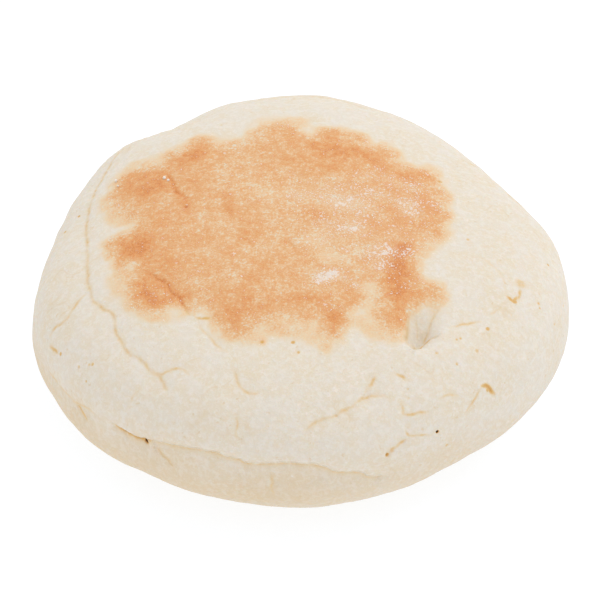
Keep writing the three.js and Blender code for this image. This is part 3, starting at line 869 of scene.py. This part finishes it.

# The skin's colour in layers, each laid on where a value rises from low to high, and how thickly.
# The low side layers are partly painted shade, the speck layer partly painted light on the grain, and the
# fold layers partly painted shade in creases and holes.
LAYERS = [
    (blotch, 0.45, 0.65, 0.4, CREAMY_DOUGH), (mottle, 0.45, 0.6, 0.45, CREAMY_DOUGH),
    (low_value, 0, 1, 0.45, WARM_SHADED_DOUGH), (cloud, 0.45, 0.64, 0.5, FLOURY_DOUGH),
    (grain, 0.5, 0.68, 0.45, FLOURY_DOUGH), (low_value, 0, 1, 0.45, WARM_SHADED_DOUGH), (veins, 0, 1, 0.25, WISP),
    (freckle, 0.66, 0.76, 0.5, WISP), (browned, 0.03, 0.2, 1, brown_ramp),
    (brown_specks, 0.57, 0.72, 0.45, SPECK_AND_GLINT), (flour_value, 0, 1.2, 0.1, FLOUR_WHITE),
    (flour_specks, 0.92, 1.25, 0.85, FLOUR_WHITE), (fold_value, 0.02, 0.6, 0.9, fold_ramp),
    (tint_value, 1.2, 2.0, 1, fold_ramp),
]
skin = linear(PALE_DOUGH)
for value, low, high, thickness, colour in LAYERS:
    amount = add_node(tree, "ShaderNodeMapRange", dict(interpolation_type="SMOOTHSTEP"), Value=value,
                      From_Min=low, From_Max=high, To_Min=0, To_Max=thickness)
    skin = add_node(tree, "ShaderNodeMix", dict(data_type="RGBA"), Factor=amount, A=skin,
                    B=linear(colour) if isinstance(colour, str) else colour)

# The grain is also felt as relief, finer than the mesh holds: heights in mm.
relief = weighted_sum(tree, 0, [(grain, 0.1), (cloud, 0.07), (brown_specks, 0.16)])
bump = add_node(tree, "ShaderNodeBump", Strength=0.7, Distance=MM, Height=relief)
shader = add_node(tree, "ShaderNodeBsdfPrincipled", dict(subsurface_method="RANDOM_WALK"),
                  Base_Color=skin, Normal=bump, Roughness=0.85, Specular_IOR_Level=0.15,
                  Subsurface_Weight=0.15, Subsurface_Radius=(1.0, 0.6, 0.35), Subsurface_Scale=1.2 * MM)
tree.links.new(shader.outputs[0], surface)
crust_mesh.materials.append(baked_dough)

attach(muffin, "root")
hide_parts("english_muffin")


# -------------------------------------------------------------------------------------- flour
# Loose flour that the crown carried off the board: fine grains of wheat flour, sifted thinly over
# the right half of the brown, and a few crumbs of dry dough that stuck to it.
GRAIN_SIZE = 0.13  # half across the largest; real ones are finer, and lie in clumps of this size
GRAINS_PER_MM2 = 16
CLUMP_SIZE = 1.6
GRAIN_FLATNESS = 0.6
FLOUR_SEED = 4
CRUMB_ROUGHNESS = 0.35
# The crumbs: point and radius.
CRUMBS = [
    (-24.1, 13.6, 32, 0.3), (-23.4, 12.7, 32.2, 0.24), (-32.9, 16.2, 29.4, 0.26), (-32.4, 14.2, 29.7, 0.16),
]

sifting = bpy.data.node_groups.new("sifting", "GeometryNodeTree")
sifting.interface.new_socket("Crust", in_out="INPUT", socket_type="NodeSocketGeometry")
inputs = {
    name: sifting.interface.new_socket(name, in_out="INPUT", socket_type=f"NodeSocket{kind}").identifier
    for name, kind in (("Grain size", "Float"), ("Density", "Float"), ("Flatness", "Float"),
                       ("Seed", "Int"), ("Flour", "Material"))
}
sifting.interface.new_socket("Grains", in_out="OUTPUT", socket_type="NodeSocketGeometry")
given = add_node(sifting, "NodeGroupInput").outputs
floury = add_node(sifting, "GeometryNodeInputNamedAttribute", dict(data_type="FLOAT"), Name="flour")
lumpy = add_node(sifting, "ShaderNodeTexNoise", Vector=add_node(sifting, "GeometryNodeInputPosition"),
                 Scale=1 / (CLUMP_SIZE * MM), Detail=2)
in_clump = add_node(sifting, "ShaderNodeMapRange", Value=lumpy, From_Min=0.48, From_Max=0.62)
share = add_node(sifting, "ShaderNodeMath", dict(operation="MULTIPLY"), Value_0=floury, Value_1=in_clump)
density = add_node(sifting, "ShaderNodeMath", dict(operation="MULTIPLY"), Value_0=share,
                   Value_1=given["Density"])
sown = add_node(sifting, "GeometryNodeDistributePointsOnFaces", dict(distribute_method="RANDOM"),
                Mesh=given["Crust"], Density=density, Seed=given["Seed"])
varied = add_node(sifting, "FunctionNodeRandomValue", dict(data_type="FLOAT"), Min=0.35, Max=1.0,
                  Seed=given["Seed"])
width = add_node(sifting, "ShaderNodeMath", dict(operation="MULTIPLY"), Value_0=varied.outputs[1],
                 Value_1=given["Grain size"])
height = add_node(sifting, "ShaderNodeMath", dict(operation="MULTIPLY"), Value_0=width,
                  Value_1=given["Flatness"])
scale = add_node(sifting, "ShaderNodeCombineXYZ", X=width, Y=width, Z=height)
ball = add_node(sifting, "GeometryNodeMeshIcoSphere", Radius=1.0, Subdivisions=1)
grains = add_node(sifting, "GeometryNodeInstanceOnPoints", Points=sown.outputs["Points"],
                  Instance=ball.outputs["Mesh"], Rotation=sown.outputs["Rotation"], Scale=scale)
real = add_node(sifting, "GeometryNodeRealizeInstances", Geometry=grains)
coated = add_node(sifting, "GeometryNodeSetMaterial", Geometry=real, Material=given["Flour"])
add_node(sifting, "NodeGroupOutput", Grains=coated)

# Wheat flour: a dry white powder, quite matt, a little creamier where it lies thinly.
wheat_flour, tree, surface = new_material("wheat_flour")
THIN_FLOUR = "#ece2d4"
THICK_FLOUR = "#f4efe9"
powder_place = add_node(tree, "ShaderNodeTexCoord").outputs["Object"]
clumps = add_node(tree, "ShaderNodeTexNoise", Vector=powder_place, Scale=1 / (CLOUD * MM), Detail=1)
powder = add_node(tree, "ShaderNodeMix", dict(data_type="RGBA"), Factor=clumps, A=linear(THIN_FLOUR),
                  B=linear(THICK_FLOUR))
shader = add_node(tree, "ShaderNodeBsdfPrincipled", Base_Color=powder, Roughness=1.0, Specular_IOR_Level=0.1)
tree.links.new(shader.outputs[0], surface)

sieve = add_object("sieve", crust_mesh.copy())
modifier = sieve.modifiers.new("sifting", "NODES")
modifier.node_group = sifting
modifier[inputs["Grain size"]] = GRAIN_SIZE * MM
modifier[inputs["Density"]] = GRAINS_PER_MM2 / MM**2
modifier[inputs["Flatness"]] = GRAIN_FLATNESS
modifier[inputs["Seed"]] = FLOUR_SEED
modifier[inputs["Flour"]] = wheat_flour
flour_mesh = bpy.data.meshes.new_from_object(sieve.evaluated_get(bpy.context.evaluated_depsgraph_get()))
flour_mesh.name = "flour"
bpy.data.objects.remove(sieve)
with_crumbs = bmesh.new()
with_crumbs.from_mesh(flour_mesh)
for seed, (*spot, radius) in enumerate(CRUMBS, start=30):
    middle = crust(direction_to([spot]))[0]
    crumb = bmesh.ops.create_icosphere(with_crumbs, subdivisions=3, radius=radius * MM)["verts"]
    swells = lumps(np.array([vert.co for vert in crumb]) / MM, 0.5 * radius, seed)
    for vert, swell in zip(crumb, swells):
        vert.co = Vector(middle * MM) + vert.co * (1 + CRUMB_ROUGHNESS * swell)
for face in with_crumbs.faces:
    face.smooth = True
with_crumbs.to_mesh(flour_mesh)
with_crumbs.free()
flour_mesh.materials.clear()
flour_mesh.materials.append(wheat_flour)
flour_mesh.polygons.foreach_set("material_index", np.zeros(len(flour_mesh.polygons), int))
flour_dust = add_object("flour", flour_mesh)

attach(flour_dust, "root")
